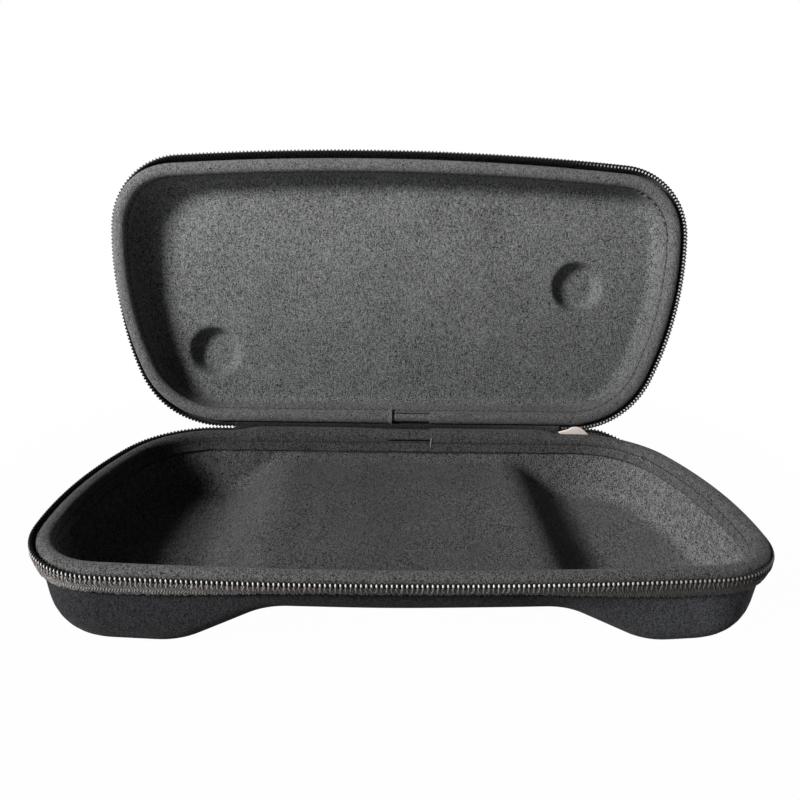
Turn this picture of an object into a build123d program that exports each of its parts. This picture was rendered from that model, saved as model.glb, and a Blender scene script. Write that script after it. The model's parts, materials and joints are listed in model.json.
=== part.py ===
import os
from math import cos, radians, sin, sqrt, tan

from build123d import *

os.makedirs("parts", exist_ok=True)

# Outline of the zip, seen from above: u runs across, v from the hinge line to the front
case_width = 310.0
zip_depth = 149.0
widest_from_hinge = 97.0
side_radius = 178.0
front_radius = 1490.0
front_corner = 39.0
back_corner = 47.0
lid_open_angle = 100.0

# Moulded shells: w runs outwards from the plane where the two halves close
wall = 5.0
collar = 7.5
tray_depth = 39.5
tray_draft = 5.0
tray_round = 12.5
lid_depth = 24.0
lid_draft = 12.0
lid_round = 14.0
rim_drop = 1.3
rim_chamfer = 1.6
zip_overhang = 4.0
hinge_gap = 3.5

# Raised middle of the tray between the two grip wells
middle_depth = 19.5
middle_width = 122.0
middle_round = 20.0
well_slope = 52.0
well_round = 28.0

# Recesses in the lid over the two thumb sticks, as places on the lid
stick_places = [(105.0, 39.0), (-101.0, 79.5)]
stick_radius = 12.5
stick_recess = 6.0
stick_slope = 28.0
stick_root_bevel = 1.3
stick_end_bevel = 1.0

# Edge binding sewn round the rim of each shell
binding = 0.9
binding_top = 0.3
binding_outer_leg = 4.0
binding_inner_leg = 7.4
sewn_gap = 0.05

# Zip: coils, tapes, stops, slider and pull
coil_radius = 0.9
coil_sides = 8
coil_drop = 1.2
coil_line = 0.5
tape = 0.8
tape_foot = 7.0
zip_run_in = 10.0
stop_length = 3.0
stop_radius = 0.95
slider_length = 12.5
slider_tail_height = 6.4
slider_mouth_height = 8.2
slider_top = 1.6
slider_plate = 0.8
slider_corner = 1.6
slider_gap = 2.2
flange = 0.9
flange_slot = 1.1
post_length = 2.4
post_height = 1.1
running_gap = 0.3
bridge_reach = 3.0
bridge_bar = 1.1
bridge_width = 1.6
bridge_round = 1.0
pull_length = 27.0
pull_width = 5.6
pull = 1.1
pull_eye_length = 4.4
pull_eye_height = 2.8

# Fabric hinge strip sewn to both back walls
strip = 1.0
strip_step = 1.2

# Frame: the feet stand on z = 0, and the open case is centred on the origin
lean = radians(lid_open_angle)
lid_taper = (lid_depth - collar) * tan(radians(lid_draft)) + lid_round * tan(radians(45 - lid_draft / 2))
lid_flat = zip_depth - zip_overhang - lid_taper
lid_reach = (lid_depth - lid_round) * sin(lean) - lid_flat * cos(lean) + lid_round
hinge_point = Vector(0, (zip_depth - lid_reach) / 2, tray_depth)
hinge_axis = Axis(hinge_point, (-1, 0, 0))
tray_plane = Plane(hinge_point, x_dir=(1, 0, 0), z_dir=(0, 0, -1))
lid_plane = Plane(hinge_point, x_dir=(-1, 0, 0), z_dir=(0, sin(lean), cos(lean)))
half_width = case_width / 2
corner_reach = side_radius - back_corner
corner_drop = widest_from_hinge - back_corner
back_straight = half_width - side_radius + sqrt(corner_reach**2 - corner_drop**2)
zip_end = back_straight - zip_run_in


def outline(plane, inset, back_edge):
    """Rounded trapezoid of the case, drawn inside the zip line by the inset."""
    with BuildSketch(plane) as face:
        with Locations((half_width - side_radius, widest_from_hinge)):
            Circle(side_radius - inset)
        with Locations((side_radius - half_width, widest_from_hinge)):
            Circle(side_radius - inset, mode=Mode.INTERSECT)
        with Locations((0, zip_depth - front_radius)):
            Circle(front_radius - inset, mode=Mode.INTERSECT)
        with Locations((0, back_edge)):
            Rectangle(case_width, zip_depth, align=(Align.CENTER, Align.MIN), mode=Mode.INTERSECT)
        corners = face.vertices().group_by(Axis.Y)
        fillet(corners[-1], front_corner - inset)
        corners = face.vertices().group_by(Axis.Y)
        fillet(corners[0], back_corner - inset)
    return face.sketch


def shell_outline(plane, inset):
    """Outline of a shell wall, inset from the outside of its collar."""
    return outline(plane, zip_overhang + inset, hinge_gap + inset)


def drafted_block(plane, inset, depth, draft):
    """Solid block of a half: an upright collar, then walls that draw in to its flat end."""
    with BuildPart() as block:
        extrude(shell_outline(plane.offset(rim_drop), inset), collar - rim_drop, dir=plane.z_dir)
        base = shell_outline(plane.offset(collar), inset)
        extrude(base, depth - collar, dir=plane.z_dir, taper=draft)
    return block.part


def outward_faces(part, plane, least):
    """Faces that look outwards along the half's w axis by at least the given share."""
    return part.faces().filter_by(lambda f: f.normal_at().dot(plane.z_dir) > least)


def offset_bevel(bevel, thickness, turn):
    """Bevel of the outside of a bent wall that keeps its thickness over a bevel on the inside."""
    half_turn = radians(turn / 2)
    return bevel + thickness * (1 / cos(half_turn) - 1) / sin(half_turn)


def border_edges(faces, others):
    """Edges where the first faces meet the others."""
    shared = [e for e in faces.edges() if any(e.is_same(o) for o in others.edges())]
    return ShapeList(shared)


def tray_form(inset, depth, middle, middle_curve, well_curve, edge_round):
    """Tray block with its underside cut to shape from below, and the edge of the underside rounded."""
    half_top = middle_width / 2 + inset * tan(radians(45 - well_slope / 2))
    half_foot = half_top + (depth - middle) * tan(radians(well_slope))
    across = Plane(hinge_point, x_dir=(1, 0, 0), z_dir=(0, 1, 0))
    block = drafted_block(tray_plane, inset, depth + wall, tray_draft)
    with BuildPart() as form:
        add(block)
        with BuildSketch(across) as channel:
            with BuildLine():
                Polyline(
                    (-case_width, depth),
                    (-half_foot, depth),
                    (-half_top, middle),
                    (half_top, middle),
                    (half_foot, depth),
                    (case_width, depth),
                    (case_width, 2 * depth),
                    (-case_width, 2 * depth),
                    close=True,
                )
            make_face()
            fillet(channel.vertices().group_by(Axis.Y)[0], middle_curve)
            feet = channel.vertices().filter_by(lambda p: abs(abs(p.X) - half_foot) < 1e-6)
            fillet(feet, well_curve)
        extrude(amount=2 * zip_depth, both=True, mode=Mode.SUBTRACT)
        under = outward_faces(form.part, tray_plane, 0.45)
        walls = form.faces().filter_by(lambda f: abs(f.normal_at().Z) < 0.45)
        fillet(border_edges(under, walls), edge_round)
    return form.part


def stick_bump(place, floor, radius, root_bevel, end_bevel):
    """Round bump on the end of the lid, with its root and its end bevelled."""
    slope = radians(stick_slope)
    end_radius = radius - stick_recess * tan(slope)
    end = floor + stick_recess
    centre = lid_plane.from_local_coords((*place, 0))
    with BuildPart() as bump:
        with BuildSketch(Plane(centre, x_dir=lid_plane.x_dir, z_dir=-lid_plane.y_dir)):
            with BuildLine():
                Polyline(
                    (0, floor - stick_recess),
                    (radius + root_bevel, floor - stick_recess),
                    (radius + root_bevel, floor),
                    (radius - root_bevel * sin(slope), floor + root_bevel * cos(slope)),
                    (end_radius + end_bevel * sin(slope), end - end_bevel * cos(slope)),
                    (end_radius - end_bevel, end),
                    (0, end),
                    close=True,
                )
            make_face()
        revolve(axis=Axis(centre, lid_plane.z_dir))
    return bump.part


def lid_form(inset, depth, edge_round, bump_radius, root_bevel, end_bevel):
    """Lid block with a rounded edge and a round bump over each thumb stick."""
    block = drafted_block(lid_plane, inset, depth, lid_draft)
    bumps = [stick_bump(place, depth, bump_radius, root_bevel, end_bevel) for place in stick_places]
    with BuildPart() as form:
        add(block)
        fillet(outward_faces(form.part, lid_plane, 0.99).edges(), edge_round)
        add(bumps)
    return form.part


def crest_edges(part, plane):
    """Edges of the face of a half that looks at the closing plane."""
    crest = part.faces().filter_by(lambda f: f.normal_at().dot(plane.z_dir) < -0.99)
    return crest.sort_by(lambda f: (f.center() - hinge_point).dot(plane.z_dir))[0].edges()


def rim_ring(plane, outer_inset, inner_inset, start, end):
    """Upright band round the rim of a half."""
    with BuildPart() as ring:
        face = shell_outline(plane.offset(start), outer_inset)
        extrude(face, end - start, dir=plane.z_dir)
        face = shell_outline(plane.offset(start), inner_inset)
        extrude(face, end - start, dir=plane.z_dir, mode=Mode.SUBTRACT)
    return ring.part


def edge_binding(plane):
    """Fabric tape folded over the raw edge of a shell, longer on the inside."""
    below = 2 * binding_inner_leg
    with BuildPart() as raw_edge:
        add(rim_ring(plane, -sewn_gap, wall + sewn_gap, rim_drop - sewn_gap, below))
        chamfer(crest_edges(raw_edge.part, plane), rim_chamfer)
    with BuildPart() as folded:
        add(rim_ring(plane, -binding, wall + binding, binding_top, binding_inner_leg))
        chamfer(crest_edges(folded.part, plane), offset_bevel(rim_chamfer, binding, 90))
        add(raw_edge.part, mode=Mode.SUBTRACT)
        add(rim_ring(plane, -2 * binding, wall / 2, binding_outer_leg, below), mode=Mode.SUBTRACT)
    return folded.part


def hinge_opening(plane, low, high):
    """Block over the stretch of the back edge where the zip leaves room for the hinge."""
    with BuildPart() as block:
        with BuildSketch(plane):
            with Locations((low, -zip_overhang)):
                Rectangle(high - low, zip_depth / 2, align=Align.MIN)
        extrude(amount=2 * tape_foot, both=True)
    return block.part


def zip_tape(plane, low, high):
    """Woven tape that leans out from the collar of a shell up to the coil."""
    crest = coil_drop + coil_radius + sewn_gap
    with BuildPart() as woven:
        for layer, mode in ((0, Mode.ADD), (tape, Mode.SUBTRACT)):
            inset = coil_radius - tape / 2 + layer
            foot = layer - tape - sewn_gap
            upper = outline(plane.offset(crest), inset, coil_line - tape / 2 + layer)
            lower = shell_outline(plane.offset(tape_foot), foot)
            loft([upper, lower], ruled=True, mode=mode)
        add(hinge_opening(plane, low, high), mode=Mode.SUBTRACT)
    return woven.part


def zip_coil(plane, low, high):
    """Coil of one side of the zip, as the round bead that its teeth fill."""
    line = outline(plane.offset(coil_drop), coil_radius, coil_line)
    path = line.face().outer_wire()
    with BuildPart() as bead:
        with BuildSketch(Plane(path @ 0, z_dir=path % 0)):
            RegularPolygon(coil_radius, coil_sides)
        sweep(path=path)
        add(hinge_opening(plane, low, high), mode=Mode.SUBTRACT)
    return bead.part


def zip_stop(plane, start):
    """Short crimped sleeve that ends a coil."""
    section = Plane(plane.origin, x_dir=plane.y_dir, z_dir=plane.x_dir)
    with BuildPart() as stop:
        with BuildSketch(section.offset(start)):
            with Locations((coil_line, coil_drop)):
                Circle(stop_radius)
        extrude(amount=stop_length)
    return stop.part


def strip_leg(plane):
    """Half of the hinge strip, which steps from the binding down to the collar."""
    section = Plane(plane.origin, x_dir=plane.y_dir, z_dir=plane.x_dir)
    upper = hinge_gap - binding - 2 * sewn_gap
    lower = hinge_gap - sewn_gap
    step_start = binding_outer_leg + sewn_gap
    step_end = step_start + strip_step
    with BuildPart() as leg:
        with BuildSketch(section):
            with BuildLine():
                Polyline(
                    (upper, 0),
                    (upper, step_start),
                    (lower, step_end),
                    (lower, collar),
                    (lower - strip, collar),
                    (lower - strip, step_end),
                    (upper - strip, step_start),
                    (upper - strip, 0),
                    close=True,
                )
            make_face()
        extrude(amount=zip_end - sewn_gap, both=True)
    return leg.part


# Tray: the moulded lower half
tray_outside = tray_form(0, tray_depth, middle_depth, middle_round, well_round, tray_round)
tray_inside = tray_form(
    wall,
    tray_depth - wall,
    middle_depth - wall,
    middle_round + wall,
    well_round - wall,
    tray_round - wall,
)
with BuildPart() as tray_shell:
    add(tray_outside)
    add(tray_inside, mode=Mode.SUBTRACT)
    chamfer(crest_edges(tray_shell.part, tray_plane), rim_chamfer)

# Lid: the moulded upper half
stick_turn = 90 - stick_slope
bump_radius = stick_radius + wall * tan(radians(stick_turn / 2))
root_bevel = offset_bevel(stick_root_bevel, wall, stick_turn)
end_bevel = offset_bevel(stick_end_bevel, wall, stick_turn)
lid_outside = lid_form(0, lid_depth, lid_round, bump_radius, stick_root_bevel, end_bevel)
lid_inside = lid_form(wall, lid_depth - wall, lid_round - wall, stick_radius, root_bevel, stick_end_bevel)
with BuildPart() as lid_shell:
    add(lid_outside)
    add(lid_inside, mode=Mode.SUBTRACT)
    chamfer(crest_edges(lid_shell.part, lid_plane), rim_chamfer)

# Edge bindings
tray_fold = edge_binding(tray_plane)
with BuildPart() as tray_binding:
    add(tray_fold)
lid_fold = edge_binding(lid_plane)
with BuildPart() as lid_binding:
    add(lid_fold)

# Zip on both halves: the slider is parked at the right end of the tray's coil
slider_tail = zip_end + running_gap
slider_mouth = slider_tail + slider_length
chain_start = slider_mouth + running_gap
coil_end = zip_end + stop_length
with BuildPart() as tray_zip_tape:
    add(zip_tape(tray_plane, -coil_end, chain_start))
with BuildPart() as lid_zip_tape:
    add(zip_tape(lid_plane, -chain_start, coil_end))
with BuildPart() as tray_zip_coil:
    add(zip_coil(tray_plane, -coil_end, zip_end))
with BuildPart() as lid_zip_coil:
    add(zip_coil(lid_plane, -chain_start, coil_end))
with BuildPart() as tray_top_stop:
    add(zip_stop(tray_plane, -coil_end))
with BuildPart() as lid_top_stop:
    add(zip_stop(lid_plane, zip_end))
with BuildPart() as zip_bottom_stop:
    add(zip_stop(tray_plane, zip_end - stop_length))

# Slider: two plates joined by a post, with a bridge over the pull's bar
slider_middle = slider_mouth_height / 2 - slider_top
slider_face = slider_gap / 2 + slider_plate
slider_plane = Plane(
    tray_plane.from_local_coords((slider_tail + slider_length / 2, coil_line, slider_middle)),
    x_dir=(1, 0, 0),
    z_dir=(0, 1, 0),
)
bar_radius = pull / 2
bar_height = slider_face + running_gap + bar_radius
bridge_under = bar_height + bar_radius + running_gap
bridge_top = bridge_under + bridge_bar


def slider_outline(inset, overrun):
    """Plan of the slider, drawn in from its long sides and run past its ends."""
    end = slider_length / 2 + overrun
    tail = slider_tail_height / 2 - inset
    mouth = slider_mouth_height / 2 - inset
    with BuildSketch(slider_plane) as face:
        with BuildLine():
            Polyline((-end, -tail), (end, -mouth), (end, mouth), (-end, tail), close=True)
        make_face()
    return face


with BuildPart() as zip_slider:
    plate = slider_outline(0, 0)
    extrude(plate.sketch, slider_face, both=True)
    corners = zip_slider.edges().filter_by(Axis.Y)
    fillet(corners, slider_corner)
    extrude(slider_outline(flange, slider_corner).sketch, slider_gap / 2, both=True, mode=Mode.SUBTRACT)
    extrude(slider_outline(-flange, slider_corner).sketch, flange_slot / 2, both=True, mode=Mode.SUBTRACT)
    post_foot = coil_drop - coil_radius - running_gap - slider_middle
    with BuildSketch(slider_plane):
        with Locations((slider_length / 2 - slider_corner, post_foot)):
            Rectangle(post_length, post_height, align=(Align.MAX, Align.MAX))
    extrude(amount=slider_face, both=True)
    bridge_plane = Plane(slider_plane.origin, x_dir=(1, 0, 0), z_dir=(0, 0, 1))
    with BuildSketch(bridge_plane) as arch:
        outer_reach = bridge_reach + bridge_bar / 2
        inner_reach = bridge_reach - bridge_bar / 2
        with Locations((0, slider_face)):
            Rectangle(2 * outer_reach, bridge_top - slider_face, align=(Align.CENTER, Align.MIN))
        fillet(arch.vertices().group_by(Axis.Y)[-1], bridge_round)
        with Locations((0, slider_face)):
            Rectangle(
                2 * inner_reach,
                bridge_under - slider_face,
                align=(Align.CENTER, Align.MIN),
                mode=Mode.SUBTRACT,
            )
    extrude(amount=bridge_width / 2, both=True)

# Pull: a flat tab whose end bar turns under the bridge
with BuildPart() as zip_pull:
    with BuildSketch(slider_plane.offset(bar_height)) as tab:
        with Locations((bar_radius, 0)):
            Rectangle(pull_length, pull_width, align=(Align.MAX, Align.CENTER))
        fillet(tab.vertices().group_by(Axis.X)[0], pull_width / 2 - bar_radius)
        with Locations((-bar_radius - running_gap / 2, 0)):
            Rectangle(pull_eye_length, pull_eye_height, align=(Align.MAX, Align.CENTER), mode=Mode.SUBTRACT)
    extrude(amount=bar_radius, both=True)
    bar_edges = zip_pull.faces().sort_by(Axis.X)[-1].edges().filter_by(Axis.Z)
    fillet(bar_edges, bar_radius - sewn_gap)

# Hinge strip: one length of fabric, bent round the hinge line between the two back walls
with BuildPart() as hinge_strip:
    add(strip_leg(tray_plane))
    add(strip_leg(lid_plane))
    fold = hinge_gap - binding - 2 * sewn_gap
    with BuildSketch(tray_plane) as bend:
        with Locations((0, fold)):
            Rectangle(2 * (zip_end - sewn_gap), strip, align=(Align.CENTER, Align.MAX))
    revolve(bend.sketch, axis=hinge_axis, revolution_arc=lid_open_angle)

pieces = {
    "tray_shell": tray_shell,
    "lid_shell": lid_shell,
    "tray_binding": tray_binding,
    "lid_binding": lid_binding,
    "tray_zip_tape": tray_zip_tape,
    "lid_zip_tape": lid_zip_tape,
    "tray_zip_coil": tray_zip_coil,
    "lid_zip_coil": lid_zip_coil,
    "tray_top_stop": tray_top_stop,
    "lid_top_stop": lid_top_stop,
    "zip_bottom_stop": zip_bottom_stop,
    "zip_slider": zip_slider,
    "zip_pull": zip_pull,
    "hinge_strip": hinge_strip,
}
for label, piece in pieces.items():
    piece.part.label = label
    export_step(piece.part, f"parts/{label}.step")
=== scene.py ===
import json
import math
import bpy
import numpy as np
from mathutils import Matrix, Vector


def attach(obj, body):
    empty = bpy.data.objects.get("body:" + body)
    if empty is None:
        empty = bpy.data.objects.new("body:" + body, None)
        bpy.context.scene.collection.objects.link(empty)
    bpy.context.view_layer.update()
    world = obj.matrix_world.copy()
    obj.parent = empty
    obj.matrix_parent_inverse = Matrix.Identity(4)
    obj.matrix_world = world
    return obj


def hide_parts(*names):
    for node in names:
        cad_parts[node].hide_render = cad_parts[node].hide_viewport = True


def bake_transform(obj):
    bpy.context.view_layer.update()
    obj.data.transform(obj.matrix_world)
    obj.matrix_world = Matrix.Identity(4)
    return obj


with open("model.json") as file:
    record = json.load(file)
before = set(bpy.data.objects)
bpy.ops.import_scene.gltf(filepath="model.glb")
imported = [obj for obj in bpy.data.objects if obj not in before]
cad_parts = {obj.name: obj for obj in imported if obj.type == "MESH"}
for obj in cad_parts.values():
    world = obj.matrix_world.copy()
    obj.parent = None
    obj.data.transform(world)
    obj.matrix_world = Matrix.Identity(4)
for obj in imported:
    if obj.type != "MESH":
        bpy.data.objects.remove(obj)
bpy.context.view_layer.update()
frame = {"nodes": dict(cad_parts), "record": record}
mm = 0.001
hinge = next(j for j in frame["record"]["behaviour"]["joints"] if j["name"] == "lid_hinge")
hingeX, hingeY, hingeZ = (v / mm for v in hinge["pos_m"])
openAngle = math.radians(-hinge["range_deg"][0])
print("frame loaded, hinge at", round(hingeY, 3), round(hingeZ, 3))

caseSize = {  # millimetres, as in the solids
    "width": 310.0, "zipDepth": 149.0, "widest": 97.0, "sideRadius": 178.0, "frontRadius": 1490.0,
    "frontCorner": 39.0, "backCorner": 47.0, "wall": 5.0, "collar": 7.5, "overhang": 4.0, "hingeGap": 3.5,
    "zipEnd": 88.08, "coilEnd": 91.08, "chainStart": 101.2,
}
wall = caseSize["wall"]


def outlinePath(inset, back):
    # closed line round a half, from the middle of its back towards +u; gives places and inward normals
    c = caseSize
    sideU = c["width"] / 2 - c["sideRadius"]
    backR = c["backCorner"] - inset
    backV = back + backR
    reach = c["sideRadius"] - c["backCorner"]
    backU = sideU + math.sqrt(reach ** 2 - (c["widest"] - backV) ** 2)
    frontV = c["zipDepth"] - c["frontRadius"]
    r1, r2 = c["sideRadius"] - c["frontCorner"], c["frontRadius"] - c["frontCorner"]
    gapU, gapV = -sideU, frontV - c["widest"]
    gap = math.hypot(gapU, gapV)
    a = (r1 ** 2 - r2 ** 2 + gap ** 2) / (2 * gap)
    h = math.sqrt(r1 ** 2 - a ** 2)
    meets = [(sideU + (a * gapU - k * h * gapV) / gap, c["widest"] + (a * gapV + k * h * gapU) / gap) for k in (-1, 1)]
    cornerU, cornerV = max(meets)
    sideStart = math.atan2(backV - c["widest"], backU - sideU)
    sideEnd = math.atan2(cornerV - c["widest"], cornerU - sideU)
    frontStart = math.atan2(cornerV - frontV, cornerU)
    arcs = [
        (backU, backV, backR, -math.pi / 2, sideStart),
        (sideU, c["widest"], c["sideRadius"] - inset, sideStart, sideEnd),
        (cornerU, cornerV, c["frontCorner"] - inset, sideEnd, frontStart),
        (0.0, frontV, c["frontRadius"] - inset, frontStart, math.pi / 2),
    ]
    starts = [backU]
    for arc in arcs:
        starts.append(starts[-1] + arc[2] * (arc[4] - arc[3]))
    halfLength = starts[-1]

    def at(s):
        s = np.mod(np.asarray(s, float), 2 * halfLength)
        left = s > halfLength
        run = np.where(left, 2 * halfLength - s, s)
        u, v = run.copy(), np.full_like(run, back)
        nu, nv = np.zeros_like(run), np.ones_like(run)
        for arc, start, end in zip(arcs, starts, starts[1:]):
            on = (run >= start) & (run <= end + 1e-9)
            angle = arc[3] + (run[on] - start) / arc[2]
            u[on], v[on] = arc[0] + arc[2] * np.cos(angle), arc[1] + arc[2] * np.sin(angle)
            nu[on], nv[on] = -np.cos(angle), -np.sin(angle)
        flip = np.where(left, -1.0, 1.0)
        return np.stack([u * flip, v], -1), np.stack([nu * flip, nv], -1)

    return at, 2 * halfLength


# how far each rim leans over its zip at +u, -u and the front
rimLean = {"tray": (1.6, 0.5, -1.4), "lid": (2.2, 0.3, -0.9)}
rimSpread = {"tray": (1.0, 0.0, 0.0), "lid": (0.2, 0.0, 0.0)}  # how much wider the binding's roll is there


def sideShare(normal, shares):
    # the front's share holds only where the rim runs straight across; the corners go with the sides
    front = np.clip(-normal[..., 1], 0, 1) ** 6
    side = 1 - front - np.clip(normal[..., 1], 0, 1) ** 2
    return np.where(normal[..., 0] < 0, shares[0], shares[1]) * side + shares[2] * front


def rimLine(half, inset=0.0):
    at, length = outlinePath(caseSize["overhang"] + inset, caseSize["hingeGap"] + inset)

    def leaning(s):
        base, normal = at(s)
        return base - normal * sideShare(normal, rimLean[half])[..., None], normal

    return leaning, length


def toWorld(half, p):
    # u, v, w of a half in millimetres to metres in the frame; w runs outwards from the closing plane
    u, v, w = p[..., 0], p[..., 1], p[..., 2]
    if half == "tray":
        x, y, z = u, hingeY - v, hingeZ - w
    else:
        x = -u
        y = hingeY - v * math.cos(openAngle) + w * math.sin(openAngle)
        z = hingeZ + v * math.sin(openAngle) + w * math.cos(openAngle)
    return np.stack([x, y, z], -1) * mm


def smooth(x, low, high):
    t = np.clip((x - low) / (high - low), 0, 1)
    return t * t * (3 - 2 * t)


def unit(v):
    return v / np.linalg.norm(v, axis=-1)[..., None]


def withDepth(p, w):
    # places in the plane of a half, joined with their depths
    return np.concatenate([p, np.broadcast_to(w, p.shape[:-1])[..., None]], -1)


def tangentTo(normal):
    return withDepth(np.stack([normal[:, 1], -normal[:, 0]], 1), 0.0)


def circle(count):
    return np.linspace(0, 2 * math.pi, count, endpoint=False)


def ringAt(side, up, angle):
    return side[:, None] * np.cos(angle)[None, :, None] + up[:, None] * np.sin(angle)[None, :, None]


def ripple(p, size, seed):
    # slow, repeatable unevenness from a few sine waves, about -1 to 1
    draw = np.random.default_rng(seed)
    total = np.zeros(p.shape[:-1])
    for _ in range(6):
        way = draw.normal(size=p.shape[-1])
        way *= 2 * math.pi / (size * draw.uniform(0.6, 1.6)) / np.linalg.norm(way)
        total += np.sin(p @ way + draw.uniform(0, 6.28))
    return total / 3


def addMesh(name, verts, faces, along=None, parts=None):
    mesh = bpy.data.meshes.new(name)
    mesh.from_pydata(verts.reshape(-1, 3).tolist(), [], faces)
    if along is not None:
        layer = mesh.attributes.new("along", "FLOAT_VECTOR", "POINT")
        layer.data.foreach_set("vector", np.ascontiguousarray(along, np.float32).ravel())
    if parts is not None:
        mesh.polygons.foreach_set("material_index", np.asarray(parts, np.int32))
    mesh.polygons.foreach_set("use_smooth", np.ones(len(mesh.polygons), bool))
    mesh.validate()
    piece = bpy.data.objects.new(name, mesh)
    bpy.context.scene.collection.objects.link(piece)
    return piece


def gridFaces(rows, cols, wrapRows=False, wrapCols=False, first=0):
    r = np.arange(rows if wrapRows else rows - 1)
    c = np.arange(cols if wrapCols else cols - 1)
    r, c = np.meshgrid(r, c, indexing="ij")
    r2, c2 = (r + 1) % rows, (c + 1) % cols
    quads = np.stack([r * cols + c, r * cols + c2, r2 * cols + c2, r2 * cols + c], -1)
    return (quads.reshape(-1, 4) + first).tolist()


def tubeFaces(rings, sides, first=0):
    last = first + (rings - 1) * sides
    caps = [list(range(first, first + sides))[::-1], list(range(last, last + sides))]
    return gridFaces(rings, sides, wrapCols=True, first=first) + caps


def cappedFaces(rows, sides):
    # rings closed by one place at each end, which follow the rings in the list
    last, first = rows * sides, (rows - 1) * sides
    around = [(j, (j + 1) % sides) for j in range(sides)]
    fans = [[last, k, j] for j, k in around] + [[last + 1, first + j, first + k] for j, k in around]
    return gridFaces(rows, sides, wrapCols=True) + fans


def ball(rows, sides):
    turn, angle = np.linspace(0, math.pi, rows + 2)[1:-1, None], circle(sides)
    rings = [np.cos(turn) + 0 * angle, np.sin(turn) * np.cos(angle), np.sin(turn) * np.sin(angle)]
    places = np.concatenate([np.stack(rings, -1).reshape(-1, 3), [[1.0, 0, 0], [-1.0, 0, 0]]])
    return places, cappedFaces(rows, sides)


def sweptPiece(name, half, places, along, closed):
    # places: columns along the run, rows round the section; open runs get end caps
    cols, rows = places.shape[:2]
    faces = gridFaces(cols, rows, wrapRows=closed, wrapCols=True)
    if not closed:
        faces.append(list(range(rows)))
        faces.append(list(range((cols - 1) * rows, cols * rows))[::-1])
    faces = [f[::-1] for f in faces]
    return addMesh(name, toWorld(half, places), faces, along)


def settle(piece, body, slotName, material, *nodes):
    if material is not None:
        piece.data.materials.append(material)
    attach(piece, body)
    if nodes:
        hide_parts(*nodes)
    return piece


# Node helpers


def newGroup(name, inputs, outputs):
    group = bpy.data.node_groups.new(name, "ShaderNodeTree")
    kinds = {4: "NodeSocketColor", 3: "NodeSocketVector"}
    for label, value in inputs.items():
        kind = kinds[len(value)] if isinstance(value, tuple) else "NodeSocketFloat"
        group.interface.new_socket(label, in_out="INPUT", socket_type=kind).default_value = value
    for label in outputs:
        kind = "NodeSocketColor" if label == "Color" else "NodeSocketFloat"
        group.interface.new_socket(label, in_out="OUTPUT", socket_type=kind)
    return group, group.nodes.new("NodeGroupInput").outputs, group.nodes.new("NodeGroupOutput").inputs


def feed(tree, node, sockets):
    # links what is a socket, and sets what is a value
    for key, value in sockets.items():
        slotIn = node.inputs[int(key[1:]) if key[1:].isdigit() else key]
        if isinstance(value, bpy.types.NodeSocket):
            tree.links.new(value, slotIn)
        else:
            slotIn.default_value = value


def put(tree, kind, settings=None, **sockets):
    node = tree.nodes.new(kind)
    for key, value in (settings or {}).items():
        setattr(node, key, value)
    feed(tree, node, sockets)
    return node


def math2(tree, operation, a, b=0.0):
    return put(tree, "ShaderNodeMath", {"operation": operation}, i0=a, i1=b).outputs[0]


def times(tree, a, b):
    return math2(tree, "MULTIPLY", a, b)


def plus(tree, a, b):
    return math2(tree, "ADD", a, b)


def minus(tree, a, b):
    return math2(tree, "SUBTRACT", a, b)


def mixColour(tree, factor, a, b):
    return put(tree, "ShaderNodeMix", {"data_type": "RGBA"}, i0=factor, i6=a, i7=b).outputs[2]


def band(tree, value, low, high):
    return put(tree, "ShaderNodeMapRange", {"interpolation_type": "SMOOTHSTEP"}, i0=value, i1=low, i2=high).outputs[0]


def ramp(tree, value, low, high, atLow, atHigh):
    return put(tree, "ShaderNodeMapRange", i0=value, i1=low, i2=high, i3=atLow, i4=atHigh).outputs[0]


def objectPlace(tree):
    return put(tree, "ShaderNodeTexCoord").outputs["Object"]


def alongRun(tree):
    spot = put(tree, "ShaderNodeAttribute", {"attribute_name": "along"}).outputs["Vector"]
    return put(tree, "ShaderNodeSeparateXYZ", Vector=spot).outputs


def noise(tree, place, scale, **more):
    return put(tree, "ShaderNodeTexNoise", Vector=place, Scale=scale, **more).outputs[0]


def reachAlong(tree, place, way):
    return put(tree, "ShaderNodeVectorMath", {"operation": "DOT_PRODUCT"}, i0=place, i1=way).outputs["Value"]


def placed(tree, group, **values):
    return put(tree, "ShaderNodeGroup", {"node_tree": group}, **values).outputs


def makeFleckGroup():
    # heather yarn: short pale and dark fibres over a soft, patchy base
    inputs = {"Dark": (0.02, 0.02, 0.02, 1), "Light": (0.2, 0.2, 0.2, 1), "Grain": 1500.0, "Patch": 0.3}
    t, given, made = newGroup("heatherFleck", inputs, ("Color", "Height"))
    place = objectPlace(t)
    fine = noise(t, place, given["Grain"], Detail=1.0, Roughness=0.6)
    wide = times(t, given["Grain"], 0.6)
    drawn = put(t, "ShaderNodeMapping", Vector=place, Scale=(1.0, 0.4, 0.4)).outputs[0]
    fibre = noise(t, drawn, wide, Detail=1.0, Distortion=1.0)
    patch = noise(t, place, 38.0, Detail=3.0)
    specks = times(t, band(t, fine, 0.36, 0.64), 0.74)
    share = plus(t, specks, times(t, band(t, fibre, 0.38, 0.62), 0.26))
    lift = times(t, minus(t, patch, 0.5), given["Patch"])
    colour = mixColour(t, plus(t, share, lift), given["Dark"], given["Light"])
    t.links.new(colour, made["Color"])
    t.links.new(share, made["Height"])
    return t


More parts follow.
